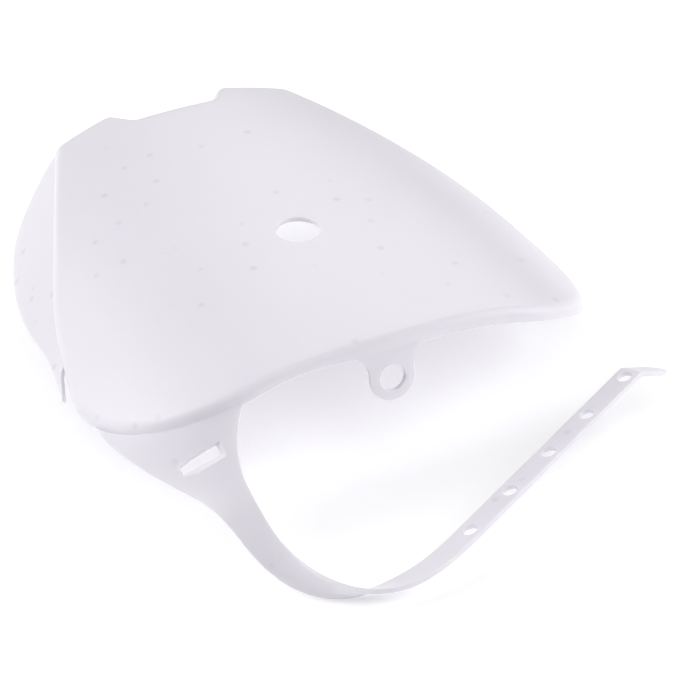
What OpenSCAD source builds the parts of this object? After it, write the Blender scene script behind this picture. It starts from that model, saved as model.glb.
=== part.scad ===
// Racing number board: one moulded sheet of plastic with a crowned face, a turned down rim,
// a hanging side flap on each long side, a mounting tab and a holed strap.
// The face looks up, the notched edge points to +Y and the origin is at the centre hole.

/* [Face] */
// Half width of the board where its side lines meet the wide edge
wide_half = 134.6; // [120:0.1:145]
// Half width of the board at the notched edge
narrow_half = 60.4; // [50:0.1:66]
// Distance from the centre hole to the wide edge
wide_y = 84; // [75:0.5:95]
// Distance from the centre hole to the narrow corners
narrow_y = 135.2; // [124:0.1:142]
// How far the middle of the wide edge bows outward
wide_bow = 5.3; // [2:0.1:9]
// How far the middle of each side bows outward
side_bulge = 11.6; // [6:0.1:15]
// Radius of the two wide corners
wide_corner_r = 55.7; // [40:0.1:58]
// Radius of the two narrow corners
narrow_corner_r = 8; // [4:0.5:12]
// Thickness of the moulded sheet
sheet_t = 2.2; // [1.6:0.1:2.6]

/* [Crown] */
// Fall of the face to each side at 100 mm from the middle
cross_fall = 13; // [6:0.5:18]
// Extra fall at 100 mm that steepens only the outer part of the sides
shoulder_fall = 9.9; // [2:0.1:14]
// Fall of the face along its length at 100 mm from the middle
length_fall = 4.2; // [0:0.1:10]

/* [Rim] */
// Radius of the bend between the face and the rim
rim_r = 3.6; // [3:0.1:3.7]
// Height of the turned down rim below the face
rim_h = 6.4; // [5.6:0.1:12]
// Lean of the rim away from upright
rim_lean = 16; // [5:1:25]
// Height of the rim along the sides, where the flaps take over
side_rim_h = 4; // [3.6:0.1:5.5]

/* [Notch] */
// Half width of the notch floor
notch_half = 20; // [14:0.5:21]
// Depth of the notch below its two peaks
notch_depth = 12; // [6:0.5:14]
// Distance from the middle to each peak
peak_x = 28.6; // [27:0.1:34]
// Distance that the peaks stand beyond the narrow corners
peak_rise = 10; // [5:0.5:14]
// Radius of the peaks and of the notch floor corners
notch_r = 4.2; // [3.8:0.1:4.5]

/* [Holes] */
// Diameter of the hole in the middle of the face
centre_hole_d = 20; // [12:0.5:26]
// Diameter of the hole in the tab
tab_hole_d = 12; // [6:0.5:15]
// Diameter of the holes along the strap
strap_hole_d = 6.5; // [4:0.1:7]
// Length of the slot in the strap base
slot_l = 20.6; // [14:0.1:24]
// Width of the slot in the strap base
slot_w = 7.1; // [4.5:0.1:8]

/* [Tab] */
// Width of the tab
tab_w = 21.1; // [18:0.1:26]
// Distance from the top of the tab to its hole
tab_hole_drop = 17.9; // [17:0.1:24]
// Lean of the tab away from upright
tab_lean = 12; // [5:1:16]
// Radius of the fillets beside the root of the tab
tab_fillet_r = 12; // [6:0.5:16]

/* [Flaps] */
// Greatest depth of the side flaps down their slope
flap_depth = 30; // [16:0.5:40]
// Slope of the side flaps below level
flap_slope = 48; // [40:1:60]
// Distance from the centre hole to the deepest place of each flap
flap_crest_y = 86; // [70:0.5:100]
// Distance from the centre hole to the near end of each flap's root
flap_root_y = 1; // [0:0.5:20]
// Depth of the flap at the near end of its root
tail_root_w = 7.4; // [6:0.1:12]
// Length of the free tail beyond the root
tail_l = 17; // [8:0.5:22]
// Gap between the rim and the free tail
tail_gap = 3; // [2.6:0.1:4]

/* [Strap] */
// Width of the strap
strap_w = 11.7; // [9:0.1:14]
// Extra width of the strap where it leaves its base
strap_root_extra = 3.4; // [0:0.1:8]
// Sideways shift of the strap where it leaves its base
strap_root_shift = 1.8; // [0:0.1:3]
// Length of the strap from its base to the fold of its end tab
strap_l = 238; // [200:1:250]
// Length of the bent end tab
end_tab_l = 21; // [12:0.5:28]
// Bend of the end tab from the line of the strap
end_tab_bend = 34; // [10:1:50]
// Distance from the fold to the first strap hole
first_hole = 4.8; // [4.5:0.1:12]
// Distance between two strap holes
hole_pitch = 27.8; // [15:0.1:30]
// Number of strap holes
strap_holes = 5; // [1:1:5]

/* [Hidden] */
fine = 64;

// Depths of the cuts, each long enough for its wall and short of any other
cut_through = 40;
tab_cut = 20;
slot_cut = 14;
strap_cut = 10;

// Longest side of a facet round the plan, and the most that a corner turns in one facet
span = 9;
turn_step = 18;

// Distance from the middle at which the three falls of the face are given
fall_at = 100;

// Radii that only soften the middle of the wide edge and of the two long sides
wide_edge_r = 300;
side_r = 200;

// Where the rim lowers and rises again, as the part of its outward way that points to the notch
side_turn = [-0.1, 0.25];
notch_turn = [0.6, 0.85];

// Places of the rows of points over the face, from the hole to the bend, and round the bend
face_rows = [0, 0.22, 0.42, 0.6, 0.75, 0.88, 1];
bend_rows = [30, 60, 90];
inside_hole = 0.6;

// Flap: its rows and columns, its sunk root, its rounding and the way its tail swings clear
flap_rows = 26;
flap_columns = 4;
flap_reach = 4;
flap_sunk = 0.6;
flap_on_rim = 0.95;
flap_start = 0.3;
crest_power = 0.75;
tail_power = 1.35;
tail_swing = 5;
tail_thin = 0.4;
tail_least = 0.8;

// Strap: start of its middle line, then its turn, slope and roll, each as the first and last angle
// and the distances along the strap where the change begins and ends
strap_start = [-88.6, -121.4, -45.2];
heading = [-73.5, 23.5, 3, 121];
climb = [-30.2, 9.7, 1, 96.3];
roll = [34.2, 164, 4, 91.3];
strap_steps = 48;
strap_columns = 4;
root_fade = 18;
tip_steps = 5;
tip_end = 84;

// Strap base: its rows, the ends of its root round the corner, and how each side of it curves
base_steps = 12;
base_angles = [267, 192];
base_sunk = 0.4;
base_low = 0.6;
base_hook = 1.7;
base_swell = 0.7;

// Slot: its place across and along the base, and the step that finds its direction
slot_u = 0.42;
slot_v = 0.43;
slot_step = 0.04;

// Height on the rim where the fillets of the tab begin
tab_below_rim = 3;
tab_step = 15;

function mix(a, b, t) = a + (b - a) * t;
function ease(t) = let (c = max(0, min(1, t))) c * c * (3 - 2 * c);
function share(ends, s) = ease((s - ends[0]) / (ends[1] - ends[0]));
function change(rule, s) = mix(rule[0], rule[1], share([rule[2], rule[3]], s));
function unit(v) = v / norm(v);
function turned(a) = [cos(a), sin(a)];
function angle_of(v) = atan2(v[1], v[0]);

// Height of the face's upper surface over the plan
function crown(x, y) =
    let (u = x / fall_at, v = y / fall_at)
    -cross_fall * u * u - shoulder_fall * pow(u, 4) - length_fall * v * v;

// Depth of the sheet measured straight down, which grows where the crown is steep
function deep(x, y, t) =
    let (u = x / fall_at, v = y / fall_at)
    t * norm([2 * cross_fall * u + 4 * shoulder_fall * pow(u, 3), 2 * length_fall * v, fall_at]) / fall_at;

// Corners of the plan on the right half, from the wide edge to the notch, each with its radius
side_mid = [(wide_half + narrow_half) / 2 + side_bulge, (narrow_y - wide_y) / 2];
half_plan = [
    [wide_half, -wide_y, wide_corner_r],
    [side_mid[0], side_mid[1], side_r],
    [narrow_half, narrow_y, narrow_corner_r],
    [peak_x, narrow_y + peak_rise, notch_r],
    [notch_half, narrow_y + peak_rise - notch_depth, notch_r]
];
plan_corners = concat(
    [[0, -wide_y - wide_bow, wide_edge_r]],
    half_plan,
    [for (i = [len(half_plan) - 1 : -1 : 0]) [-half_plan[i][0], half_plan[i][1], half_plan[i][2]]]
);

// Points of one rounded corner, each with its outward direction
function corner(a, p, b) =
    let (
        into = unit([p[0] - a[0], p[1] - a[1]]),
        out = unit([b[0] - p[0], b[1] - p[1]]),
        start = angle_of([into[1], -into[0]]),
        cross = into[0] * out[1] - into[1] * out[0],
        turn = atan2(cross, into * out),
        side = sign(turn),
        reach = p[2] * tan(abs(turn) / 2),
        middle = [p[0], p[1]] - into * reach - side * p[2] * turned(start),
        steps = max(2, ceil(max(p[2] * abs(turn) * PI / 180 / span, abs(turn) / turn_step)))
    )
    [for (i = [0 : steps])
        let (n = turned(start + turn * i / steps)) [middle + side * p[2] * n, n]];

rounded_plan = [
    for (i = [0 : len(plan_corners) - 1])
        let (count = len(plan_corners))
        each corner(plan_corners[(i + count - 1) % count], plan_corners[i], plan_corners[(i + 1) % count])
];

// The same line with extra points, so that no stretch of it is longer than the span
plan = [
    for (i = [0 : len(rounded_plan) - 1])
        let (
            here = rounded_plan[i],
            next = rounded_plan[(i + 1) % len(rounded_plan)],
            parts = max(1, ceil(norm(next[0] - here[0]) / span))
        )
        for (k = [0 : parts - 1])
            [mix(here[0], next[0], k / parts), unit(mix(here[1], next[1], k / parts))]
];

// Height of the rim at a point of the plan, from the way that the point faces
function rim_here(n) =
    let (to_side = share(side_turn, n[1]), to_notch = share(notch_turn, n[1]))
    mix(rim_h, side_rim_h, to_side * (1 - to_notch));

// One ring of the face, from inside the centre hole outward to the bend, at a depth in the sheet
function face_ring(f, t) =
    [for (q = plan)
        let (p = mix(unit(q[0]) * centre_hole_d / 2 * inside_hole, q[0] - q[1] * rim_r, f))
        [p[0], p[1], crown(p[0], p[1]) - deep(p[0], p[1], t)]];

// One ring of the bend, at an angle round it
function bend_ring(a, t) =
    [for (q = plan)
        let (p = q[0] - q[1] * (rim_r - (rim_r - t) * sin(a)))
        [p[0], p[1], crown(p[0], p[1]) - rim_r + (rim_r - deep(p[0], p[1], t)) * cos(a)]];

// Foot of the rim, leaning outward
function foot_ring(inset) =
    [for (q = plan)
        let (
            h = rim_here(q[1]),
            p = q[0] + q[1] * ((h - rim_r) * tan(rim_lean) - inset)
        )
        [p[0], p[1], crown(q[0][0], q[0][1]) - h]];

function shell_rows(t) = concat(
    [for (f = face_rows) face_ring(f, t)],
    [for (a = bend_rows) bend_ring(a, t)],
    [foot_ring(t)]
);

// Closed skin of two grids of rows that run round the board
module shell() {
    n = len(plan);
    upper = shell_rows(0);
    lower = shell_rows(sheet_t);
    rows = concat(upper, [for (i = [len(lower) - 1 : -1 : 0]) lower[i]]);
    m = len(rows);
    polyhedron(
        [for (row = rows) each row],
        [for (j = [0 : m - 1]) for (i = [0 : n - 1])
            let (k = (i + 1) % n, a = j * n, b = (j + 1) % m * n)
            each [[a + i, a + k, b + k], [a + i, b + k, b + i]]]
    );
}

// Direction square to a grid of points at one of its points
function grid_normal(g, j, i) =
    let (
        along = g[min(j + 1, len(g) - 1)][i] - g[max(j - 1, 0)][i],
        across = g[j][min(i + 1, len(g[0]) - 1)] - g[j][max(i - 1, 0)]
    )
    unit(cross(along, across));

// Sheet of even thickness on both sides of an open grid of points
module sheet(g) {
    m = len(g);
    n = len(g[0]);
    top = [for (j = [0 : m - 1]) for (i = [0 : n - 1]) g[j][i] + grid_normal(g, j, i) * sheet_t / 2];
    low = [for (j = [0 : m - 1]) for (i = [0 : n - 1]) g[j][i] - grid_normal(g, j, i) * sheet_t / 2];
    size = m * n;
    edge = concat(
        [for (i = [0 : n - 2]) i],
        [for (j = [0 : m - 2]) j * n + n - 1],
        [for (i = [n - 1 : -1 : 1]) (m - 1) * n + i],
        [for (j = [m - 1 : -1 : 1]) j * n]
    );
    polyhedron(
        concat(top, low),
        concat(
            [for (j = [0 : m - 2]) for (i = [0 : n - 2])
                let (a = j * n + i, b = a + 1, c = a + n + 1, d = a + n)
                each [[a, b, c], [a, c, d], [size + a, size + c, size + b], [size + a, size + d, size + c]]],
            [for (k = [0 : len(edge) - 1])
                let (a = edge[k], b = edge[(k + 1) % len(edge)])
                each [[a, size + b, b], [a, size + a, size + b]]]
        )
    );
}

// Right side line of the plan, as distance from the middle for each place along the board
side_line = [for (q = plan) if (q[0][0] > 0 && q[1][0] > 0.5) [q[0][1], q[0][0]]];
function side_x(y) = lookup(y, side_line);

// Leaf shaped flap along the right side, with a free tail at its near end
flap_top_y = narrow_y - narrow_corner_r * flap_start;
function leaf(y) =
    y > flap_crest_y
        ? flap_depth * pow(sin(90 * (flap_top_y - y) / (flap_top_y - flap_crest_y)), crest_power)
        : mix(
            flap_depth,
            tail_root_w,
            ease(pow((flap_crest_y - y) / (flap_crest_y - flap_root_y), tail_power))
        );

function flap_row(f) =
    let (
        y = mix(flap_top_y, flap_root_y - tail_l, f),
        past = max(0, flap_root_y - y) / tail_l,
        ahead = unit([side_x(y - flap_reach) - side_x(y + flap_reach), -2 * flap_reach]),
        face_out = [-ahead[1], ahead[0]],
        root = [side_x(y), y] - face_out * sheet_t * flap_sunk,
        z = crown(side_x(y), y) - rim_r * flap_on_rim,
        down = [face_out[0] * cos(flap_slope), face_out[1] * cos(flap_slope), -sin(flap_slope)],
        first = tail_gap * ease(past * tail_swing) * (1 + past),
        last = max(leaf(y) - tail_gap * tail_thin * past, first + tail_least)
    )
    [for (k = [0 : flap_columns]) [root[0], root[1], z] + down * mix(first, last, k / flap_columns)];

module flap() {
    sheet([for (j = [0 : flap_rows]) flap_row(j / flap_rows)]);
}

// Strap: its middle line, cross directions and half widths, station by station
function strap_dir(s) =
    let (h = change(heading, s), e = change(climb, s)) [cos(h) * cos(e), sin(h) * cos(e), sin(e)];
function strap_across(s) =
    let (
        h = change(heading, s),
        e = change(climb, s),
        r = change(roll, s),
        left = [-sin(h), cos(h), 0],
        up = [-sin(e) * cos(h), -sin(e) * sin(h), cos(e)]
    )
    left * cos(r) + up * sin(r);
function strap_half(s) = (strap_w + strap_root_extra * exp(-s / root_fade)) / 2;
function strap_shift(s) = strap_across(s) * strap_root_shift * exp(-s / root_fade);
strap_pitch = strap_l / strap_steps;
strap_line = [
    for (
        i = 0, p = strap_start;
        i <= strap_steps;
        p = p + strap_dir((i + 0.5) * strap_pitch) * strap_pitch, i = i + 1
    )
        p
];
function strap_row(p, across, half) =
    [for (k = [0 : strap_columns]) p + across * half * (1 - 2 * k / strap_columns)];

// Bent end tab with a round tip
end_across = strap_across(strap_l);
end_along = strap_dir(strap_l);
end_out = cross(end_across, end_along);
end_dir = end_along * cos(end_tab_bend) - end_out * sin(end_tab_bend);
tip_r = strap_w / 2;
end_rows = concat(
    [strap_row(strap_line[strap_steps] + end_dir * (end_tab_l - tip_r), end_across, tip_r)],
    [for (i = [1 : tip_steps])
        let (a = tip_end * i / tip_steps)
        strap_row(
            strap_line[strap_steps] + end_dir * (end_tab_l - tip_r + tip_r * sin(a)),
            end_across,
            tip_r * cos(a)
        )]
);

// Base of the strap, from the foot of the rim round the wide left corner to the strap's start
left_corner = [-wide_half, -wide_y];
corner_turn_in = unit(left_corner - [0, -wide_y - wide_bow]);
corner_turn_out = unit([-side_mid[0], side_mid[1]] - left_corner);
corner_half = acos(-corner_turn_in * corner_turn_out) / 2;
corner_middle = left_corner + unit(corner_turn_out - corner_turn_in) * wide_corner_r / sin(corner_half);
function base_root(u) =
    let (
        a = mix(base_angles[0], base_angles[1], u),
        p = corner_middle + turned(a) * (wide_corner_r - sheet_t * base_sunk)
    )
    [p[0], p[1], crown(p[0], p[1]) - rim_h + sheet_t * base_low];
base_mid = (base_root(0) + base_root(1)) / 2;
base_end = strap_start + strap_shift(0);
function base_row(v) =
    [for (k = [0 : strap_columns])
        let (
            u = k / strap_columns,
            keep = mix(pow(1 - v, base_hook), 1 - mix(v, ease(v), base_swell), u),
            start = strap_across(0) * strap_half(0) * (1 - 2 * u)
        )
        mix(base_mid, base_end, v) + mix(start, base_root(u) - base_mid, keep)];

module strap() {
    sheet(concat(
        [for (j = [0 : base_steps - 1]) base_row(j / base_steps)],
        [for (i = [0 : strap_steps])
            let (s = i * strap_pitch)
            strap_row(strap_line[i] + strap_shift(s), strap_across(s), strap_half(s))],
        end_rows
    ));
}

// Place of a hole through the strap at a distance from the strap's start
function strap_at(s) = strap_line[floor(s / strap_pitch)] + strap_dir(s) * (s % strap_pitch);
module at_strap(s) {
    placed(strap_across(s), strap_dir(s), cross(strap_across(s), strap_dir(s)), strap_at(s))
        children();
}

// Tab: flat outline with a round end and wide fillets at its root, hung from the middle of the rim
tab_r = tab_w / 2;
tab_wide = tab_r + tab_fillet_r;
tab_top = rim_h - tab_below_rim;
tab_side = concat(
    [[tab_wide, -tab_top / 3]],
    [for (a = [90 : tab_step : 180]) [tab_wide, -tab_fillet_r - tab_top] + tab_fillet_r * turned(a)],
    [for (a = [0 : -tab_step : -90]) [0, -tab_hole_drop] + tab_r * turned(a)]
);

module tab_plane() {
    translate([0, -wide_y - wide_bow + sheet_t, crown(0, wide_y + wide_bow) - sheet_t])
        rotate([90 - tab_lean, 0, 0])
            children();
}

module tab() {
    tab_plane()
        linear_extrude(sheet_t, center = true)
            polygon(concat(
                tab_side,
                [for (i = [len(tab_side) - 2 : -1 : 0]) [-tab_side[i][0], tab_side[i][1]]]
            ));
}

// Frame of the slot, square to the strap base and lined up with the start of the strap
function base_at(u, v) =
    let (row = base_row(v), k = min(strap_columns - 1, floor(u * strap_columns)), f = u * strap_columns - k)
    mix(row[k], row[k + 1], f);
slot_middle = base_at(slot_u, slot_v);
slot_side = unit(unit(base_at(slot_u - slot_step, slot_v) - slot_middle) + strap_across(0));
slot_out = unit(cross(slot_side, base_at(slot_u, slot_v + slot_step) - slot_middle));
slot_deep = cross(slot_out, slot_side);

module placed(x, y, z, p) {
    multmatrix([
        [x[0], y[0], z[0], p[0]],
        [x[1], y[1], z[1], p[1]],
        [x[2], y[2], z[2], p[2]],
        [0, 0, 0, 1]
    ])
        children();
}

module number_board() {
    color("#e7e5ee")
    translate([0, 0, sheet_t / 2])
    difference() {
        union() {
            shell();
            flap();
            mirror([1, 0, 0]) flap();
            strap();
            tab();
        }
        cylinder(h = cut_through, d = centre_hole_d, center = true, $fn = fine);
        tab_plane()
            translate([0, -tab_hole_drop, 0])
                cylinder(h = tab_cut, d = tab_hole_d, center = true, $fn = fine);
        placed(slot_side, slot_deep, slot_out, slot_middle)
            cube([slot_l, slot_w, slot_cut], center = true);
        for (i = [0 : strap_holes - 1])
            at_strap(strap_l - first_hole - i * hole_pitch)
                cylinder(h = strap_cut, d = strap_hole_d, center = true, $fn = fine);
    }
}

number_board();
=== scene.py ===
"""Racing number board: one moulded sheet of white plastic on a pale studio floor.

The face is crowned and turned down at its rim. A leaf shaped flap hangs from each long side,
a tab with a round hole hangs from the wide edge, and a holed strap grows from the left wide corner.
All lengths are in metres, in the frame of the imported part.
"""

import math

import bmesh
import bpy
from bpy.props import FloatProperty, FloatVectorProperty, IntProperty, PointerProperty
from bpy.types import Operator, Panel, PropertyGroup
from mathutils import Matrix, Vector


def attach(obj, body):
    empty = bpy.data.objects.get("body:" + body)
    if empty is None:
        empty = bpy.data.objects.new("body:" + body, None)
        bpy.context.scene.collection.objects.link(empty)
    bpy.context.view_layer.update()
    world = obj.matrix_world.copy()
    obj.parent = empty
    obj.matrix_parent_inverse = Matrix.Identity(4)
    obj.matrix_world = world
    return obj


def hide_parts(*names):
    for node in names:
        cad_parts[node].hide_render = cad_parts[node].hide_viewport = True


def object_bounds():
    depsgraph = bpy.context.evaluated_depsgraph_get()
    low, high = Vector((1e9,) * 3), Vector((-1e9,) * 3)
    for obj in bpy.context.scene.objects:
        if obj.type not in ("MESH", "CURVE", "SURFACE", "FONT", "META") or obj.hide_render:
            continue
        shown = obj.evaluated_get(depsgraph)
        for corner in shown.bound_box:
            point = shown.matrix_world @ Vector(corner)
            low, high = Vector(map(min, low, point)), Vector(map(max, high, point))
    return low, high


bl_info = {
    "name": "Racing Number Board",
    "version": (1, 0, 0),
    "blender": (4, 5, 0),
    "location": "View3D > Sidebar > Number Board",
    "description": "Models a moulded racing number board and its studio",
    "category": "Object",
}

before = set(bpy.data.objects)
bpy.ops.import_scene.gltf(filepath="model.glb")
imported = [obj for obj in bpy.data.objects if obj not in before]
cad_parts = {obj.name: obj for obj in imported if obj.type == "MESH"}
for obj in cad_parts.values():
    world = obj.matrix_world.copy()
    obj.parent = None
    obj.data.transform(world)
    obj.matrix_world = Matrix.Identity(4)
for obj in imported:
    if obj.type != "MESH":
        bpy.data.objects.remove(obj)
CAD_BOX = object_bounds()
NODE = "number_board"
MM = 0.001

# Face and rim: where the falls of the crown are measured, the radii of the wide edge and the sides,
# the spans between the plan's points, and the rings of points from the hole to the foot of the rim
CROWN_AT = 0.1
WIDE_EDGE_R = 300 * MM
SIDE_R = 200 * MM
PLAN_SPAN = 2.6 * MM
SIDE_SPAN = 1.5 * MM
FACE_RINGS, BEND_RINGS, FOOT_RINGS = 34, 8, 2

# Rim's height follows the y part of its outward direction: where each change begins, and its reach
RIM_TO_RIGHT_SIDE = (-0.1, 0.35)
RIM_TO_LEFT_SIDE = (-0.78, 1.0)
RIM_TO_NOTCH = (0.6, 0.25)
RIM_DIP_X = -43 * MM
RIM_DIP_REACH = 34 * MM
RIM_DIP_FACING = -0.5

# Edges sharper than the first angle are rounded, and the second one parts smooth from sharp shading
CUT_EDGE_ANGLE = math.radians(55)
SHADE_ANGLE = math.radians(32)
HOLE_SEGMENTS = 57
HOLE_START = 0.37

# Flaps: their rows and columns, the powers of the leaf's outline, how far the root sits inside the
# rim as parts of the sheet, the bend and the corner, and the tail's gap and least width
FLAP_STEPS, FLAP_COLUMNS = 78, 14
FLAP_REACH = 4 * MM
FLAP_CREST_POWER = 0.75
FLAP_TAIL_POWER = 1.35
FLAP_TOP_PART = 0.3
FLAP_SUNK_PART = 0.6
FLAP_LOW_PART = 0.95
TAIL_OPENS = 5
TAIL_TURN_PART = 0.4
TAIL_LEAST_W = 0.8 * MM

# Tab: how far it is moved in from the wide edge, the height over the rim's foot where its fillets
# begin, where its top lies as a part of their depth, and the turn from one point to the next
TAB_STEP = 0.43 * MM
TAB_BELOW_RIM = 3 * MM
TAB_TOP_PART = 0.95
TAB_TURN = 6

# Colour mixing node: its factor, its two colours and its result, by place
MIX_FACTOR, MIX_FIRST, MIX_SECOND, MIX_RESULT = 0, 6, 7, 2

# Specks: their reach in the pattern's own units, the share left out and how strong they are
SPECK_REACH = 0.16
SPECK_PICK = 0.2
SPECK_DEPTH = 0.3

# Strap's middle line: where it starts, then the turn, slope and roll rules, each with its first and
# last value in degrees and the distances along the strap where the change begins and ends
STRAP_START = Vector((-88.6, -121.4, -45.2)) * MM
STRAP_TURN = (-73.5, 23.5, 3 * MM, 121 * MM)
STRAP_CLIMB = (-30.2, 9.7, 1 * MM, 96.3 * MM)
STRAP_ROLL = (34.2, 164.0, 4 * MM, 91.3 * MM)
STRAP_FADE = 18 * MM
STRAP_STEPS = 144
STRAP_COLUMNS = 12
END_STEPS, TIP_STEPS = 6, 12
TIP_END = math.radians(84)

# Strap's base: the angles of its root round the corner, the shape of its two edges, the parts of its
# length with the fillet and the bulge, how it sits in the rim, and its blend into the strap
BASE_ANGLES = (267, 192)
BASE_HOOK = 1.7
BASE_SWELL = 0.7
BASE_SUNK_PART = 0.4
BASE_LOW_PART = 0.6
BASE_CUT_PART = 0.3
FILLET_STEPS, BASE_STEPS = 8, 36
FILLET_PART = 0.09
BULGE_PART = 0.85
STRAP_CORNER_AT = 200
STRAP_CORNER_REACH = 36
STRAP_BLEND = 7
BLEND_ROUNDS = 30

# Slot: its place across and along the base, the step to the points that turn it, its corners, and
# how much shorter it is at the back in width and length
SLOT_U, SLOT_V = 0.42, 0.43
SLOT_PROBE = 0.04
SLOT_CORNER_R = 0.7 * MM
SLOT_REACH = 7 * MM
SLOT_TAPER = (2.9 * MM, 2.4 * MM)

# The photograph's view: turn and tip of the camera in degrees, and its distance and offsets
VIEW_TURN = 26.96
VIEW_TIP = 34.73
VIEW_LENS_PX = 3412.0
PHOTO_PX = 680.0
VIEW_DISTANCE = 1517.8 * MM
VIEW_SIDE = -18.7 * MM
VIEW_RISE = 49.2 * MM

# Soft lights: name, the way each one stands from the board, its width in metres and its strength
LIGHT_DISTANCE = 1.6
LIGHT_TARGET = (0, 0, -0.02)
WORLD_STRENGTH = 0.06
FLOOR_GLOW = 0.24
FLOOR_GAP = 0.2 * MM
FLOOR_HALF = 6.0
SOFT_LIGHTS = (
    ("left_light", (-0.78, 0.45, 0.42), 1.2, 0.57),
    ("right_light", (0.78, -0.45, 0.42), 1.2, 0.59),
    ("back_light", (-0.45, 0.5, 0.72), 1.2, 0.265),
    ("far_light", (0.5, 0.6, 0.6), 1.2, 0.26),
    ("high_light", (-0.1, -0.6, 0.8), 1.2, 0.39),
)


def length_size(name, description, default, low=0.0, high=0.4):
    return FloatProperty(
        name=name,
        description=description,
        default=default,
        min=low,
        max=high,
        subtype="DISTANCE",
        unit="LENGTH",
    )


def colour(name, description, default):
    return FloatVectorProperty(
        name=name, description=description, subtype="COLOR", size=3, default=default, min=0, max=1
    )


class BoardSizes(PropertyGroup):
    wide_half: length_size("Wide half", "Half width where the side lines meet the wide edge", 134.6 * MM)
    narrow_half: length_size("Narrow half", "Half width at the notched edge", 60.4 * MM)
    wide_y: length_size("Wide edge", "Distance from the centre hole to the wide edge", 84 * MM)
    narrow_y: length_size("Narrow edge", "Distance from the centre hole to the narrow corners", 135.2 * MM)
    wide_bow: length_size("Wide bow", "How far the wide edge bows outward", 5.3 * MM)
    side_bulge: length_size("Side bulge", "How far each side bows outward", 11.6 * MM)
    wide_corner_r: length_size("Wide corner", "Radius of the wide corners", 55.7 * MM)
    narrow_corner_r: length_size("Narrow corner", "Radius of the narrow corners", 8 * MM)
    notch_half: length_size("Notch half", "Half width of the notch floor", 20 * MM)
    notch_depth: length_size("Notch depth", "Depth of the notch below its peaks", 12 * MM)
    peak_x: length_size("Peak place", "Distance from the middle to each peak", 28.6 * MM)
    peak_rise: length_size("Peak rise", "How far the peaks stand beyond the narrow corners", 10 * MM)
    notch_r: length_size("Notch radius", "Radius of the peaks and notch corners", 4.2 * MM)
    sheet_t: length_size("Sheet", "Thickness of the moulded sheet", 2.2 * MM)
    base_fillet: length_size("Base fillet", "Fillet where the strap's base leaves the rim", 3.5 * MM)
    base_bulge: length_size("Base bulge", "How far the outer edge of the base bows outward", 3.2 * MM)
    strap_corner_cut: length_size("Strap corner cut", "How far the strap's corner stands in", 1.7 * MM)
    edge_r: length_size("Edge", "Most that the sheet's cut edges are rounded", 0.5 * MM)
    cross_fall: length_size("Cross fall", "Fall of the face to each side at 100 mm", 13 * MM)
    shoulder_fall: length_size("Shoulder fall", "Extra fall of the outer sides at 100 mm", 9.9 * MM)
    length_fall: length_size("Length fall", "Fall of the face along its length at 100 mm", 4.2 * MM)
    rim_r: length_size("Rim bend", "Radius of the bend between face and rim", 3.6 * MM)
    rim_h: length_size("Rim height", "Height of the turned down rim", 6.4 * MM)
    side_rim_h: length_size("Side rim", "Height of the rim along the flaps", 4 * MM)
    rim_dip: length_size("Rim dip", "How much lower the rim is between strap and tab", 2 * MM)
    rim_lean: FloatProperty(name="Rim lean", description="Lean of the rim in degrees", default=16.0)
    centre_hole_d: length_size("Centre hole", "Diameter of the hole in the face", 20 * MM)
    tab_hole_d: length_size("Tab hole", "Diameter of the hole in the tab", 12 * MM)
    strap_hole_d: length_size("Strap hole", "Diameter of the strap holes", 6.5 * MM)
    slot_l: length_size("Slot length", "Length of the slot", 20.6 * MM)
    slot_w: length_size("Slot width", "Width of the slot", 7.1 * MM)
    tab_w: length_size("Tab width", "Width of the tab", 21.1 * MM)
    tab_hole_drop: length_size("Tab drop", "Distance from the top of the tab to its hole", 17.9 * MM)
    tab_lean: FloatProperty(name="Tab lean", description="Lean of the tab in degrees", default=12.0)
    tab_fillet_r: length_size("Tab fillet", "Radius of the fillets at the root of the tab", 12 * MM)
    flap_depth: length_size("Flap depth", "Greatest depth of the flaps", 30 * MM)
    flap_slope: FloatProperty(name="Flap slope", description="Slope of the flaps in degrees", default=48.0)
    flap_crest_y: length_size("Flap crest", "Place of the deepest part of the flaps", 86 * MM)
    flap_root_y: length_size("Flap root", "Near end of the root of the flaps", 1 * MM)
    tail_root_w: length_size("Tail width", "Depth of the flap at the end of its root", 7.4 * MM)
    tail_l: length_size("Tail length", "Length of the free tail", 15.6 * MM)
    tail_gap: length_size("Tail gap", "Gap between the rim and the tail", 3 * MM)
    strap_w: length_size("Strap width", "Width of the strap", 11.7 * MM)
    strap_root_extra: length_size("Strap root", "Extra width where the strap leaves its base", 3.4 * MM)
    strap_root_shift: length_size("Root shift", "Sideways shift of the strap at its root", 1.8 * MM)
    strap_l: length_size("Strap length", "Length of the strap to its fold", 238 * MM)
    end_tab_l: length_size("End tab", "Length of the bent end tab", 21 * MM)
    end_tab_bend: FloatProperty(name="End bend", description="Bend of the end tab in degrees", default=34.0)
    first_hole: length_size("First hole", "Distance from the fold to the first hole", 4.8 * MM)
    hole_pitch: length_size("Hole pitch", "Distance between strap holes", 27.8 * MM)
    strap_holes: IntProperty(name="Strap holes", description="Number of strap holes", default=5, min=1)


class BoardLooks(PropertyGroup):
    plastic: colour("Plastic", "Colour of the plastic", (0.77, 0.75, 0.8))
    speck: colour("Speck", "Colour of the small specks", (0.36, 0.36, 0.4))
    floor: colour("Floor", "Colour of the floor", (0.9, 0.9, 0.91))


def sizes():
    return bpy.context.scene.board_sizes


def looks():
    return bpy.context.scene.board_looks


def mix(a, b, t):
    return a + (b - a) * t


def ease(t):
    c = max(0.0, min(1.0, t))
    return c * c * (3 - 2 * c)


def change(rule, s):
    return math.radians(mix(rule[0], rule[1], ease((s - rule[2]) / (rule[3] - rule[2]))))


def facing(angle):
    return Vector((math.cos(angle), math.sin(angle)))


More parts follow.
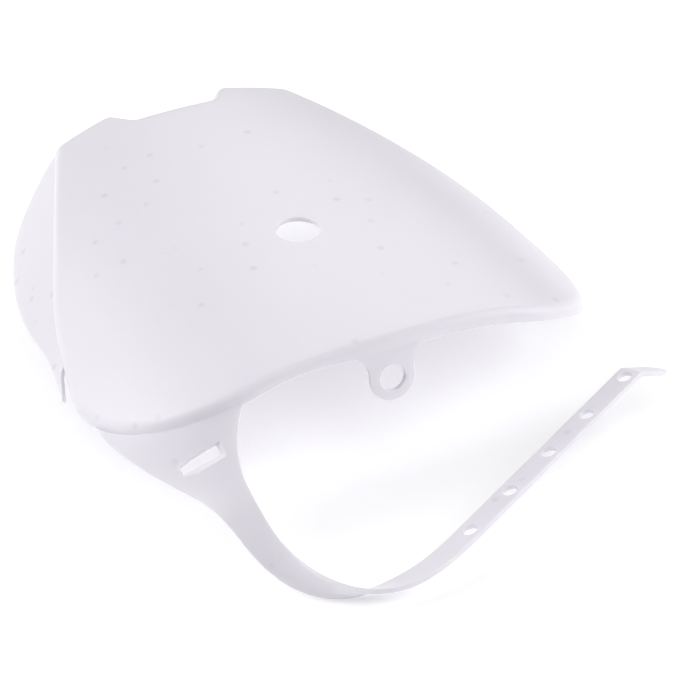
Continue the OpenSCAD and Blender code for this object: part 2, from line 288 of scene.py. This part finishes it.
def crown(x, y):
    """Height of the sheet's middle over the plan."""
    s = sizes()
    u, v = x / CROWN_AT, y / CROWN_AT
    return -s.cross_fall * u * u - s.shoulder_fall * u**4 - s.length_fall * v * v


def face_top(x, y):
    return crown(x, y) + sizes().sheet_t / 2


def side_middle():
    s = sizes()
    return Vector(((s.wide_half + s.narrow_half) / 2 + s.side_bulge, (s.narrow_y - s.wide_y) / 2))


def plan_corners():
    s = sizes()
    half = [
        (Vector((s.wide_half, -s.wide_y)), s.wide_corner_r),
        (side_middle(), SIDE_R),
        (Vector((s.narrow_half, s.narrow_y)), s.narrow_corner_r),
        (Vector((s.peak_x, s.narrow_y + s.peak_rise)), s.notch_r),
        (Vector((s.notch_half, s.narrow_y + s.peak_rise - s.notch_depth)), s.notch_r),
    ]
    other = [(Vector((-p.x, p.y)), r) for p, r in reversed(half)]
    return [(Vector((0, -s.wide_y - s.wide_bow)), WIDE_EDGE_R)] + half + other


def rounded_corner(before, corner, after, radius, span):
    """Points round one corner of the plan, each with its outward direction."""
    into = (corner - before).normalized()
    out = (after - corner).normalized()
    start = math.atan2(-into.x, into.y)
    turn = math.atan2(into.x * out.y - into.y * out.x, into.dot(out))
    side = math.copysign(1, turn)
    middle = corner - into * radius * math.tan(abs(turn) / 2) - side * radius * facing(start)
    steps = max(2, math.ceil(max(radius * abs(turn) / span, abs(turn) / math.radians(8))))
    way = [facing(start + turn * i / steps) for i in range(steps + 1)]
    return [(middle + side * radius * n, n) for n in way]


def plan_line(span):
    """The rounded plan as points with outward directions, no further apart than the span."""
    corners = plan_corners()
    count = len(corners)
    line = []
    for i, (corner, radius) in enumerate(corners):
        line += rounded_corner(corners[i - 1][0], corner, corners[(i + 1) % count][0], radius, span)
    full = []
    for here, following in zip(line, line[1:] + line[:1]):
        parts = max(1, math.ceil((following[0] - here[0]).length / span))
        for k in range(parts):
            way = mix(here[1], following[1], k / parts).normalized()
            full.append((mix(here[0], following[0], k / parts) - way * strap_corner_cut(way), way))
    return full


def strap_corner_cut(way):
    """How far the outline stands in at the wide corner that carries the strap."""
    off = (math.degrees(math.atan2(way.y, way.x)) + 360) % 360 - STRAP_CORNER_AT
    return sizes().strap_corner_cut * ease(1 - abs(off) / STRAP_CORNER_REACH)


def rim_height(p, way):
    """Height of the rim: lower along the flaps, and dipped between the strap and the tab."""
    s = sizes()
    begin, reach = RIM_TO_LEFT_SIDE if way.x < 0 else RIM_TO_RIGHT_SIDE
    to_side = ease((way.y - begin) / reach)
    to_notch = ease((way.y - RIM_TO_NOTCH[0]) / RIM_TO_NOTCH[1])
    dip = s.rim_dip * ease(1 - abs(p.x - RIM_DIP_X) / RIM_DIP_REACH) if way.y < RIM_DIP_FACING else 0
    return mix(s.rim_h - dip, s.side_rim_h, to_side * (1 - to_notch))


def shell_rows():
    """Rings of the upper surface, from the hole's edge over the bend to the foot of the rim."""
    s = sizes()
    plan = plan_line(PLAN_SPAN)
    rows = []
    for i in range(FACE_RINGS):
        row = []
        for p, way in plan:
            q = mix(p.normalized() * s.centre_hole_d / 2, p - way * s.rim_r, i / FACE_RINGS)
            row.append(Vector((q.x, q.y, face_top(q.x, q.y))))
        rows.append(row)
    for i in range(BEND_RINGS + 1):
        a = math.pi / 2 * i / BEND_RINGS
        row = []
        for p, way in plan:
            q = p - way * s.rim_r * (1 - math.sin(a))
            row.append(Vector((q.x, q.y, face_top(q.x, q.y) - s.rim_r * (1 - math.cos(a)))))
        rows.append(row)
    for i in range(1, FOOT_RINGS + 1):
        row = []
        for p, way in plan:
            h = mix(s.rim_r, rim_height(p, way), i / FOOT_RINGS)
            q = p + way * (h - s.rim_r) * math.tan(math.radians(s.rim_lean))
            row.append(Vector((q.x, q.y, face_top(p.x, p.y) - h)))
        rows.append(row)
    return rows


def sweep_rows(bm, rows, closed):
    """Draws the first row and extrudes its edges through the others."""
    verts = [bm.verts.new(p) for p in rows[0]]
    pairs = list(zip(verts, verts[1:] + verts[:1] if closed else verts[1:]))
    edges = [bm.edges.new(pair) for pair in pairs]
    for row in rows[1:]:
        made = bmesh.ops.extrude_edge_only(bm, edges=edges)["geom"]
        after = {}
        for old in verts:
            after[old] = next(
                e.other_vert(old) for e in old.link_edges if e.other_vert(old) in made and e not in edges
            )
        new_verts = [after[v] for v in verts]
        for v, p in zip(new_verts, row):
            v.co = p
        pairs = list(zip(new_verts, new_verts[1:] + new_verts[:1] if closed else new_verts[1:]))
        edges = [bm.edges.get(pair) for pair in pairs]
        verts = new_verts


def object_from(bm, name):
    mesh = bpy.data.meshes.new(name)
    bm.to_mesh(mesh)
    bm.free()
    piece = bpy.data.objects.new(name, mesh)
    bpy.context.collection.objects.link(piece)
    return piece


def round_edges(bm, edges):
    """Rounds edges by edge_r or less: the mesh's shortest edges limit it, here to 0.1 mm or less."""
    bmesh.ops.bevel(
        bm,
        geom=edges,
        offset=sizes().edge_r,
        offset_type="OFFSET",
        segments=3,
        profile=0.5,
        affect="EDGES",
        clamp_overlap=True,
        material=-1,
    )


def close_ends(bm, sides):
    """Fills both open ends of a swept form, turns its faces outward and gives the ends' edges."""
    ends = [e for e in bm.edges if e.is_boundary]
    bmesh.ops.holes_fill(bm, edges=ends, sides=sides)
    bmesh.ops.recalc_face_normals(bm, faces=bm.faces)
    return ends


def sheet_piece(name, rows, closed, offset):
    """A sheet of even thickness on rows of points, with its cut edges slightly rounded."""
    bm = bmesh.new()
    sweep_rows(bm, rows, closed)
    bm.normal_update()
    if sum(f.normal.z * f.calc_area() for f in bm.faces) < 0:
        bmesh.ops.reverse_faces(bm, faces=bm.faces)
    piece = object_from(bm, name)
    wall = piece.modifiers.new("wall", "SOLIDIFY")
    wall.thickness = sizes().sheet_t
    wall.offset = offset
    wall.use_even_offset = True
    finish_mesh(piece)
    bm = bmesh.new()
    bm.from_mesh(piece.data)
    round_edges(bm, [e for e in bm.edges if len(e.link_faces) == 2 and e.calc_face_angle(0) > CUT_EDGE_ANGLE])
    bmesh.ops.recalc_face_normals(bm, faces=bm.faces)
    bm.to_mesh(piece.data)
    bm.free()
    return piece


def finish_mesh(piece):
    """Applies every modifier of a piece."""
    seen = piece.evaluated_get(bpy.context.evaluated_depsgraph_get())
    mesh = bpy.data.meshes.new_from_object(seen)
    piece.modifiers.clear()
    piece.data = mesh


def combine(piece, other, operation):
    """Joins another piece to this one, or cuts it out, and removes the other."""
    step = piece.modifiers.new(operation, "BOOLEAN")
    step.operation = operation
    step.solver = "EXACT"
    step.object = other
    finish_mesh(piece)
    bpy.data.objects.remove(other)


def hole_cutter(name, place, diameter, depth):
    """A round cutter whose ends flare, so that the hole's edges come out rounded."""
    s = sizes()
    r = diameter / 2
    e = s.edge_r * 0.6
    t = s.sheet_t / 2
    profile = [(-depth, e * 1.6), (-t - e * 0.4, e * 1.25), (-t + e * 0.35, e * 0.3), (-t + e, 0)]
    profile += [(-z, grow) for z, grow in reversed(profile)]
    ways = [facing(math.tau * (k + HOLE_START) / HOLE_SEGMENTS) for k in range(HOLE_SEGMENTS)]
    rows = [[place @ Vector((*((r + grow) * way), z)) for way in ways] for z, grow in profile]
    bm = bmesh.new()
    sweep_rows(bm, rows, closed=True)
    close_ends(bm, HOLE_SEGMENTS)
    return object_from(bm, name)


class NUMBERBOARD_OT_face(Operator):
    """Model the crowned face with its bend, rim and centre hole"""

    bl_idname = "numberboard.face"
    bl_label = "Face and Rim"

    def execute(self, context):
        sheet_piece("face", shell_rows(), closed=True, offset=-1)
        return {"FINISHED"}


def side_line():
    """The right side of the plan as pairs of place along the board and distance from its middle."""
    return sorted((p.y, p.x) for p, way in plan_line(SIDE_SPAN) if p.x > 0 and way.x > 0.5)


def side_x(line, y):
    for (y0, x0), (y1, x1) in zip(line, line[1:]):
        if y <= y1:
            return mix(x0, x1, (y - y0) / max(y1 - y0, 1e-9))
    return line[-1][1]


def flap_top():
    s = sizes()
    return s.narrow_y - s.narrow_corner_r * FLAP_TOP_PART


def leaf(y):
    """Depth of the flap at a place along the board."""
    s = sizes()
    top = flap_top()
    if y > s.flap_crest_y:
        rise = math.sin(math.pi / 2 * max(0, top - y) / (top - s.flap_crest_y))
        return s.flap_depth * rise**FLAP_CREST_POWER
    down = (s.flap_crest_y - y) / (s.flap_crest_y - s.flap_root_y)
    return mix(s.flap_depth, s.tail_root_w, ease(down**FLAP_TAIL_POWER))


def flap_rows(side):
    """Rows of points down the flap, from the narrow corner to the end of the tail."""
    s = sizes()
    line = side_line()
    reach = FLAP_REACH
    slope = math.radians(s.flap_slope)
    rows = []
    for j in range(FLAP_STEPS + 1):
        y = mix(flap_top(), s.flap_root_y - s.tail_l, j / FLAP_STEPS)
        past = max(0, s.flap_root_y - y) / s.tail_l
        ahead = Vector((side_x(line, y - reach) - side_x(line, y + reach), -2 * reach)).normalized()
        out = Vector((-ahead.y, ahead.x))
        x = side_x(line, y)
        root = Vector((x, y)) - out * s.sheet_t * FLAP_SUNK_PART
        z = face_top(x, y) - s.rim_r * FLAP_LOW_PART
        down = Vector((out.x * math.cos(slope), out.y * math.cos(slope), -math.sin(slope)))
        first = s.tail_gap * ease(past * TAIL_OPENS) * (1 + past)
        last = max(leaf(y) - s.tail_gap * TAIL_TURN_PART * past, first + TAIL_LEAST_W)
        start = Vector((root.x, root.y, z))
        row = [start + down * mix(first, last, k / FLAP_COLUMNS) for k in range(FLAP_COLUMNS + 1)]
        rows.append([Vector((side * p.x, p.y, p.z)) for p in row])
    return rows


class NUMBERBOARD_OT_flaps(Operator):
    """Model the leaf shaped flap on each long side"""

    bl_idname = "numberboard.flaps"
    bl_label = "Side Flaps"

    def execute(self, context):
        sheet_piece("flap_right", flap_rows(1), closed=False, offset=0)
        sheet_piece("flap_left", flap_rows(-1), closed=False, offset=0)
        return {"FINISHED"}


def strap_along(d):
    h, e = change(STRAP_TURN, d), change(STRAP_CLIMB, d)
    return Vector((math.cos(h) * math.cos(e), math.sin(h) * math.cos(e), math.sin(e)))


def strap_across(d):
    h, e, r = change(STRAP_TURN, d), change(STRAP_CLIMB, d), change(STRAP_ROLL, d)
    left = Vector((-math.sin(h), math.cos(h), 0))
    up = Vector((-math.sin(e) * math.cos(h), -math.sin(e) * math.sin(h), math.cos(e)))
    return left * math.cos(r) + up * math.sin(r)


def strap_line():
    s = sizes()
    pitch = s.strap_l / STRAP_STEPS
    point = STRAP_START + Vector((0, 0, s.sheet_t / 2))
    line = [point]
    for i in range(STRAP_STEPS):
        point = point + strap_along((i + 0.5) * pitch) * pitch
        line.append(point)
    return line


def strap_row(point, across, half):
    return [point + across * half * (1 - 2 * k / STRAP_COLUMNS) for k in range(STRAP_COLUMNS + 1)]


def strap_half(d):
    s = sizes()
    return (s.strap_w + s.strap_root_extra * math.exp(-d / STRAP_FADE)) / 2


def strap_shift(d):
    return strap_across(d) * sizes().strap_root_shift * math.exp(-d / STRAP_FADE)


def base_root(u):
    """Root of the strap's base along the foot of the rim, round the left wide corner."""
    s = sizes()
    edge = Vector((0, -s.wide_y - s.wide_bow))
    corner = Vector((-s.wide_half, -s.wide_y))
    side = Vector((-side_middle().x, side_middle().y))
    into, out = (corner - edge).normalized(), (side - corner).normalized()
    half = math.acos(-into.dot(out)) / 2
    middle = corner + (out - into).normalized() * s.wide_corner_r / math.sin(half)
    way = facing(math.radians(mix(*BASE_ANGLES, u)))
    out_to = s.wide_corner_r - s.sheet_t * BASE_SUNK_PART - strap_corner_cut(way) * BASE_CUT_PART
    p = middle + way * out_to
    return Vector((p.x, p.y, face_top(p.x, p.y) - rim_height(p, way) + s.sheet_t * BASE_LOW_PART))


def base_row(v):
    """Row of points across the base, from its root at 0 to the start of the strap at 1."""
    s = sizes()
    start = strap_line()[0] + strap_shift(0)
    middle = (base_root(0) + base_root(1)) / 2
    across = strap_across(0) * strap_half(0)
    along_rim = (base_root(0) - base_root(0.1)).normalized()
    near = max(0, 1 - v / FILLET_PART)
    fillet = s.base_fillet * (1 - math.sqrt(1 - near * near))
    row = []
    for k in range(STRAP_COLUMNS + 1):
        u = k / STRAP_COLUMNS
        keep = mix((1 - v) ** BASE_HOOK, 1 - mix(v, ease(v), BASE_SWELL), u)
        point = mix(middle, start, v) + mix(across * (1 - 2 * u), base_root(u) - middle, keep)
        row.append(point + along_rim * fillet * (1 - u) ** 3)
    outward = (row[-1] - row[0]).normalized()
    bulge = s.base_bulge * math.sin(math.pi * min(1, v / BULGE_PART))
    return [point + outward * bulge * (k / STRAP_COLUMNS) ** 2 for k, point in enumerate(row)]


def smooth_rows(rows, first, last, rounds):
    """Evens out the bend of the rows from first to last, and leaves the others where they are."""
    for _ in range(rounds):
        before = [list(row) for row in rows]
        for j in range(first, last):
            rows[j] = [
                (before[j - 1][k] + before[j][k] * 2 + before[j + 1][k]) / 4 for k in range(len(rows[j]))
            ]
    return rows


def strap_rows():
    """Rows of points across the base, the strap and its bent end."""
    s = sizes()
    rows = [base_row(FILLET_PART * j / FILLET_STEPS) for j in range(FILLET_STEPS)]
    rows += [base_row(mix(FILLET_PART, 1, j / BASE_STEPS)) for j in range(BASE_STEPS)]
    pitch = s.strap_l / STRAP_STEPS
    line = strap_line()
    for i in range(STRAP_STEPS + 1):
        d = i * pitch
        rows.append(strap_row(line[i] + strap_shift(d), strap_across(d), strap_half(d)))
    meet = FILLET_STEPS + BASE_STEPS
    rows = smooth_rows(rows, meet - STRAP_BLEND, meet + STRAP_BLEND, BLEND_ROUNDS)
    across, along = strap_across(s.strap_l), strap_along(s.strap_l)
    bend = math.radians(s.end_tab_bend)
    end_way = along * math.cos(bend) - across.cross(along) * math.sin(bend)
    half = s.strap_w / 2
    straight = s.end_tab_l - half
    for i in range(1, END_STEPS + 1):
        rows.append(strap_row(line[-1] + end_way * straight * i / END_STEPS, across, half))
    for i in range(1, TIP_STEPS + 1):
        a = TIP_END * i / TIP_STEPS
        point = line[-1] + end_way * (straight + half * math.sin(a))
        rows.append(strap_row(point, across, half * math.cos(a)))
    return rows


def basis(x, y, z, p):
    """Matrix with the given axes, placed at p."""
    return Matrix(((x.x, y.x, z.x, p.x), (x.y, y.y, z.y, p.y), (x.z, y.z, z.z, p.z), (0, 0, 0, 1)))


def slot_cutter():
    """A rectangular cutter, square to the base and lined up with the start of the strap."""
    s = sizes()

    def at(u, v):
        row = base_row(v)
        k = min(STRAP_COLUMNS - 1, int(u * STRAP_COLUMNS))
        return mix(row[k], row[k + 1], u * STRAP_COLUMNS - k)

    middle = at(SLOT_U, SLOT_V)
    side = ((at(SLOT_U - SLOT_PROBE, SLOT_V) - middle).normalized() + strap_across(0)).normalized()
    out = side.cross(at(SLOT_U, SLOT_V + SLOT_PROBE) - middle).normalized()
    deep = out.cross(side)
    if out.z < 0:
        side, out = -side, -out
    place = basis(side, deep, out, middle)
    corner = SLOT_CORNER_R
    t, e = s.sheet_t / 2, s.edge_r
    # Height through the sheet, with how much narrower and shorter the cutter is there
    shapes = {
        -SLOT_REACH: SLOT_TAPER,
        -t: SLOT_TAPER,
        t - e: (0, 0),
        t + e * 0.3: (-e, -e),
        SLOT_REACH: (-e * 1.3, -e * 1.3),
    }
    rows = []
    for z, (low, right) in shapes.items():
        wide, high = s.slot_l - right, s.slot_w - low
        flare = -low / 2 if low < 0 else 0
        centre = Vector((right / 2, -low / 2)) if low > 0 else Vector((0, 0))
        row = []
        for sx, sy, start in ((1, 1, 0), (-1, 1, 90), (-1, -1, 180), (1, -1, 270)):
            for a in (0, 30, 60, 90):
                d = facing(math.radians(start + a)) * (corner + flare)
                x = sx * (wide / 2 - corner - flare) + d.x + centre.x
                y = sy * (high / 2 - corner - flare) + d.y + centre.y
                row.append(place @ Vector((x, y, z)))
        rows.append(row)
    bm = bmesh.new()
    sweep_rows(bm, rows, closed=True)
    close_ends(bm, len(rows[0]))
    return object_from(bm, "slot_cutter")


class NUMBERBOARD_OT_strap(Operator):
    """Model the strap with its base, slot, holes and bent end"""

    bl_idname = "numberboard.strap"
    bl_label = "Strap"

    def execute(self, context):
        s = sizes()
        strap = sheet_piece("strap", strap_rows(), closed=False, offset=0)
        line = strap_line()
        pitch = s.strap_l / STRAP_STEPS
        for i in range(s.strap_holes):
            d = s.strap_l - s.first_hole - i * s.hole_pitch
            k = int(d / pitch)
            across, along = strap_across(d), strap_along(d)
            place = basis(across, along, across.cross(along), line[k] + along * (d - k * pitch))
            combine(strap, hole_cutter("hole_cutter", place, s.strap_hole_d, 5 * MM), "DIFFERENCE")
        combine(strap, slot_cutter(), "DIFFERENCE")
        return {"FINISHED"}


def tab_place():
    s = sizes()
    lean = math.radians(90 - s.tab_lean)
    edge_y = s.wide_y + s.wide_bow
    top = Vector((0, -s.wide_y - s.wide_bow + s.sheet_t, crown(0, edge_y) - s.sheet_t / 2))
    top.y += TAB_STEP
    return Matrix.Translation(top) @ Matrix.Rotation(lean, 4, "X")


def tab_outline():
    """Outline of the tab, from the right fillet round its end to the left fillet."""
    s = sizes()
    r, fillet = s.tab_w / 2, s.tab_fillet_r
    top = s.rim_h - TAB_BELOW_RIM
    half = [Vector((r + fillet, -top * TAB_TOP_PART))]
    for a in range(90, 181, TAB_TURN):
        d = facing(math.radians(a)) * fillet
        half.append(Vector((r + fillet + d.x, -fillet - top + d.y)))
    for a in range(0, -91, -TAB_TURN):
        d = facing(math.radians(a)) * r
        half.append(Vector((d.x, -s.tab_hole_drop + d.y)))
    return half + [Vector((-p.x, p.y)) for p in reversed(half[:-1])]


class NUMBERBOARD_OT_tab(Operator):
    """Model the tab with its hole and the fillets at its root"""

    bl_idname = "numberboard.tab"
    bl_label = "Tab"

    def execute(self, context):
        s = sizes()
        place = tab_place()
        t = s.sheet_t / 2
        bm = bmesh.new()
        rows = [[place @ Vector((p.x, p.y, z)) for p in tab_outline()] for z in (-t, t)]
        sweep_rows(bm, rows, closed=True)
        round_edges(bm, close_ends(bm, len(rows[0])))
        tab = object_from(bm, "tab")
        hole = place @ Matrix.Translation((0, -s.tab_hole_drop, 0))
        combine(tab, hole_cutter("tab_cutter", hole, s.tab_hole_d, 8 * MM), "DIFFERENCE")
        return {"FINISHED"}


class Value:
    """A socket, or a number, that builds shader maths from Python's own signs."""

    def __init__(self, tree, socket):
        self.tree = tree
        self.socket = socket

    def maths(self, operation, other, swapped=False):
        node = self.tree.nodes.new("ShaderNodeMath")
        node.operation = operation
        pair = [other, self] if swapped else [self, other]
        for slot, item in zip(node.inputs, pair):
            if isinstance(item, Value):
                self.tree.links.new(item.socket, slot)
            else:
                slot.default_value = item
        return Value(self.tree, node.outputs[0])

    def __add__(self, other):
        return self.maths("ADD", other)

    __radd__ = __add__

    def __sub__(self, other):
        return self.maths("SUBTRACT", other)

    def __rsub__(self, other):
        return self.maths("SUBTRACT", other, swapped=True)

    def __mul__(self, other):
        return self.maths("MULTIPLY", other)

    __rmul__ = __mul__

    def __lt__(self, other):
        return self.maths("LESS_THAN", other)

    def __gt__(self, other):
        return self.maths("GREATER_THAN", other)


class Material:
    """A node tree with one method that adds any node."""

    def __init__(self, name):
        self.made = bpy.data.materials.new(name)
        self.made.use_nodes = True
        self.tree = self.made.node_tree
        self.shader = self.tree.nodes["Principled BSDF"]

    def node(self, kind, settings=(), **sockets):
        made = self.tree.nodes.new(kind)
        for key, value in dict(settings).items():
            setattr(made, key, value)
        for key, value in sockets.items():
            self.put(made.inputs[key.replace("_", " ")], value)
        return made

    def put(self, slot, value):
        if isinstance(value, Value):
            self.tree.links.new(value.socket, slot)
        elif isinstance(value, bpy.types.NodeSocket):
            self.tree.links.new(value, slot)
        else:
            slot.default_value = value

    def value(self, node, output):
        return Value(self.tree, node.outputs[output])


def board_plastic():
    """White moulded plastic: faint cool tint, soft gloss, small specks and a barely uneven surface."""
    look = looks()
    m = Material("white_moulded_plastic")
    place = m.node("ShaderNodeTexCoord").outputs["Object"]
    cloudy = m.node("ShaderNodeTexNoise", Vector=place, Scale=14.0, Detail=3.0, Roughness=0.5)
    fine = m.node("ShaderNodeTexNoise", Vector=place, Scale=900.0, Detail=2.0, Roughness=0.6)
    dots = m.node("ShaderNodeTexVoronoi", {"feature": "F1"}, Vector=place, Scale=70.0, Randomness=1.0)
    pick = m.node("ShaderNodeSeparateColor", Color=dots.outputs["Color"])
    fade = 1 - m.value(dots, "Distance") * (1 / SPECK_REACH)
    speck = fade * (fade > 0) * (m.value(pick, "Red") > SPECK_PICK)
    cloud = m.value(cloudy, "Fac")
    shade = m.node("ShaderNodeMix", {"data_type": "RGBA"})
    m.put(shade.inputs[MIX_FACTOR], cloud)
    m.put(shade.inputs[MIX_FIRST], (*[c * 0.975 for c in look.plastic], 1))
    m.put(shade.inputs[MIX_SECOND], (*[min(1, c * 1.02) for c in look.plastic], 1))
    spotted = m.node("ShaderNodeMix", {"data_type": "RGBA"})
    m.put(spotted.inputs[MIX_FACTOR], speck * SPECK_DEPTH)
    m.put(spotted.inputs[MIX_FIRST], shade.outputs[MIX_RESULT])
    m.put(spotted.inputs[MIX_SECOND], (*look.speck, 1))
    bump = m.node("ShaderNodeBump", Strength=0.05, Distance=0.0002, Height=m.value(fine, "Fac"))
    m.put(m.shader.inputs["Base Color"], spotted.outputs[MIX_RESULT])
    m.put(m.shader.inputs["Roughness"], cloud * 0.08 + 0.3)
    m.put(m.shader.inputs["Normal"], bump.outputs[0])
    m.put(m.shader.inputs["IOR"], 1.46)
    m.put(m.shader.inputs["Subsurface Weight"], 0.5)
    m.put(m.shader.inputs["Subsurface Radius"], (1.0, 0.95, 1.0))
    m.put(m.shader.inputs["Subsurface Scale"], 0.0025)
    return m.made


class NUMBERBOARD_OT_board(Operator):
    """Join the pieces into the one moulded board and give it its plastic"""

    bl_idname = "numberboard.board"
    bl_label = "Moulded Board"

    def execute(self, context):
        board = bpy.data.objects["face"]
        for name in ("flap_right", "flap_left", "strap", "tab"):
            combine(board, bpy.data.objects[name], "UNION")
        board.name = "moulded_board"
        board.data.materials.clear()
        board.data.materials.append(board_plastic())
        board.data.shade_smooth()
        board.data.set_sharp_from_angle(angle=SHADE_ANGLE)
        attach(board, "root")
        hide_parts(NODE)
        return {"FINISHED"}


def area_light(name, place, target, width, power):
    data = bpy.data.lights.new(name, "AREA")
    data.shape = "SQUARE"
    data.size = width
    data.energy = power
    light = bpy.data.objects.new(name, data)
    light.location = place
    light.rotation_mode = "QUATERNION"
    light.rotation_quaternion = (Vector(target) - Vector(place)).to_track_quat("-Z", "Y")
    bpy.context.collection.objects.link(light)


class NUMBERBOARD_OT_stage(Operator):
    """Set the floor, the soft lights and the camera at the photograph's view"""

    bl_idname = "numberboard.stage"
    bl_label = "Stage"

    def execute(self, context):
        bm = bmesh.new()
        bmesh.ops.create_grid(bm, x_segments=1, y_segments=1, size=FLOOR_HALF)
        bmesh.ops.translate(bm, verts=bm.verts, vec=(0, 0, CAD_BOX[0].z - FLOOR_GAP))
        floor = object_from(bm, "floor")
        paper = Material("floor_paper")
        paper.put(paper.shader.inputs["Base Color"], (*looks().floor, 1))
        paper.put(paper.shader.inputs["Roughness"], 0.9)
        paper.put(paper.shader.inputs["Emission Color"], (1, 1, 1, 1))
        paper.put(paper.shader.inputs["Emission Strength"], FLOOR_GLOW)
        floor.data.materials.append(paper.made)
        for name, way, width, strength in SOFT_LIGHTS:
            place = Vector(LIGHT_TARGET) + Vector(way).normalized() * LIGHT_DISTANCE
            area_light(name, place, LIGHT_TARGET, width, strength * (math.pi * LIGHT_DISTANCE) ** 2)
        world = bpy.data.worlds.new("studio")
        world.use_nodes = True
        background = world.node_tree.nodes["Background"]
        background.inputs["Color"].default_value = (1, 1, 1, 1)
        background.inputs["Strength"].default_value = WORLD_STRENGTH
        context.scene.world = world
        context.scene.view_settings.view_transform = "Standard"
        self.camera(context)
        return {"FINISHED"}

    def camera(self, context):
        turn, tip = math.radians(VIEW_TURN), math.radians(VIEW_TIP)
        ahead = Vector((math.sin(turn) * math.cos(tip), math.cos(turn) * math.cos(tip), -math.sin(tip)))
        right = Vector((math.cos(turn), -math.sin(turn), 0))
        up = right.cross(ahead)
        data = bpy.data.cameras.new("photo_view")
        data.sensor_width = 36
        data.lens = VIEW_LENS_PX / PHOTO_PX * data.sensor_width
        data.clip_start, data.clip_end = 0.05, 50
        camera = bpy.data.objects.new("photo_view", data)
        place = -ahead * VIEW_DISTANCE - right * VIEW_SIDE - up * VIEW_RISE
        place.z += sizes().sheet_t / 2
        camera.matrix_world = basis(right, up, -ahead, place)
        context.collection.objects.link(camera)
        context.scene.camera = camera


class NUMBERBOARD_PT_panel(Panel):
    """Buttons that build the board and its stage"""

    bl_label = "Number Board"
    bl_idname = "NUMBERBOARD_PT_panel"
    bl_space_type = "VIEW_3D"
    bl_region_type = "UI"
    bl_category = "Number Board"

    def draw(self, context):
        for operator in OPERATORS:
            self.layout.operator(operator.bl_idname)
        for key in BoardSizes.__annotations__:
            self.layout.prop(context.scene.board_sizes, key)
        for key in BoardLooks.__annotations__:
            self.layout.prop(context.scene.board_looks, key)


OPERATORS = (
    NUMBERBOARD_OT_face,
    NUMBERBOARD_OT_flaps,
    NUMBERBOARD_OT_strap,
    NUMBERBOARD_OT_tab,
    NUMBERBOARD_OT_board,
    NUMBERBOARD_OT_stage,
)
CLASSES = (BoardSizes, BoardLooks, *OPERATORS, NUMBERBOARD_PT_panel)


def register():
    for kind in CLASSES:
        bpy.utils.register_class(kind)
    bpy.types.Scene.board_sizes = PointerProperty(type=BoardSizes)
    bpy.types.Scene.board_looks = PointerProperty(type=BoardLooks)


def unregister():
    del bpy.types.Scene.board_looks
    del bpy.types.Scene.board_sizes
    for kind in reversed(CLASSES):
        bpy.utils.unregister_class(kind)


def main():
    register()
    bpy.ops.numberboard.face()
    bpy.ops.numberboard.flaps()
    bpy.ops.numberboard.strap()
    bpy.ops.numberboard.tab()
    bpy.ops.numberboard.board()
    bpy.ops.numberboard.stage()


if __name__ == "__main__":
    main()
